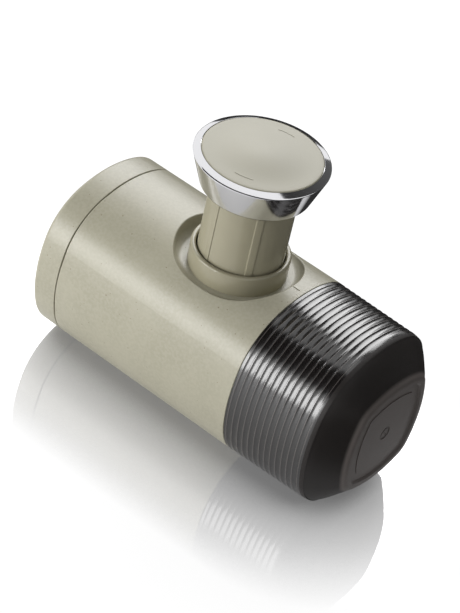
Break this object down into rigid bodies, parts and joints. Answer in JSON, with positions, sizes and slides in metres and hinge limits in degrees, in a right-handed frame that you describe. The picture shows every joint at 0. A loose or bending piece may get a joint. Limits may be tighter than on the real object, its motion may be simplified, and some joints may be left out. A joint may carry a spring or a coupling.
{
  "type": "handheld manual espresso maker",
  "caption": "Hand-pumped espresso maker: a rounded-square body with a spring-returned side plunger, a twist-off water tank at one end and a ribbed drinking cup over the brewing head.",
  "frame": {"origin": "under the middle of the overall length, on the surface that the body rests on", "axes": "+X along the body towards the cup, +Z along the plunger towards its knob, +Y across"},
  "size_m": [0.1406, 0.068, 0.1115],
  "materials": {
    "shell": "fine matt texture with sparse dark specks",
    "taupe": "gloss moulded",
    "pad": "satin",
    "bright_metal": "turned, polished and chromed",
    "cup": "gloss ribs, matt foot",
    "black": "satin",
    "nylon": "as moulded",
    "tank_clear": "smoked, gloss",
    "steel": "brushed",
    "rubber": "silicone, matt"
  },
  "bodies": {
    "body": {"body_shell": "shell", "pump_frame": "nylon", "valve_block": "nylon", "cylinder_gasket": "rubber", "pump_cylinder": "steel", "collar": "taupe", "wiper_seal": "rubber", "collar_nut": "nylon", "spring_seat": "steel", "piston_spring": "steel", "tank_bulkhead": "nylon", "tank_gasket": "rubber", "intake_tube": "nylon", "intake_filter": "nylon", "vent_valve": "rubber", "outlet_base": "black", "cup_seal": "rubber", "frame_screws": "steel", "shower_plate": "steel", "head_gasket": "rubber"},
    "plunger": {"piston_rod": "steel", "piston_head": "nylon", "piston_seal": "rubber"},
    "knob": {"piston_stem": "taupe", "knob_ring": "bright_metal", "knob_pad": "pad", "knob_screws": "steel"},
    "tank_ring": {"tank_seal": "rubber"},
    "tank": {"tank_cap": "shell", "water_tank": "tank_clear"},
    "cup": {"cup": "cup"},
    "basket": {"filter_basket": "steel"},
    "outlet_head": {"outlet_head": "black", "spout": "black"},
    "inlet_valve": {"inlet_valve": "nylon"},
    "outlet_valve": {"outlet_valve": "nylon"}
  },
  "joints": [
    {"name": "plunger_press", "type": "slide", "parent": "body", "child": "plunger", "axis": [0, 0, -1], "range_m": [0, 0.034], "stiffness_N_per_m": 300, "springref_m": -0.03, "deforming": ["piston_spring"]},
    {"name": "knob_twist", "type": "hinge", "parent": "plunger", "child": "knob", "pos_m": [-0.0061, 0, 0.03351], "axis": [0, 0, 1], "range_deg": [0, 45]},
    {"name": "tank_pull", "type": "slide", "parent": "body", "child": "tank_ring", "axis": [-1, 0, 0], "range_m": [0, 0.045]},
    {"name": "tank_turn", "type": "hinge", "parent": "tank_ring", "child": "tank", "pos_m": [-0.05915, 0, 0.03351], "axis": [1, 0, 0], "range_deg": [0, 90]},
    {"name": "cup_pull", "type": "slide", "parent": "body", "child": "cup", "axis": [1, 0, 0], "range_m": [0, 0.06]},
    {"name": "basket_pull", "type": "slide", "parent": "body", "child": "basket", "axis": [1, 0, 0], "range_m": [0, 0.0165]},
    {"name": "head_turn", "type": "hinge", "parent": "basket", "child": "outlet_head", "pos_m": [0.02385, 0, 0.03351], "axis": [1, 0, 0], "range_deg": [0, 60]},
    {"name": "inlet_valve_lift", "type": "slide", "parent": "body", "child": "inlet_valve", "axis": [1, 0, 0], "range_m": [0, 0.0012]},
    {"name": "outlet_valve_lift", "type": "slide", "parent": "body", "child": "outlet_valve", "axis": [1, 0, 0], "range_m": [0, 0.0012]}
  ]
}
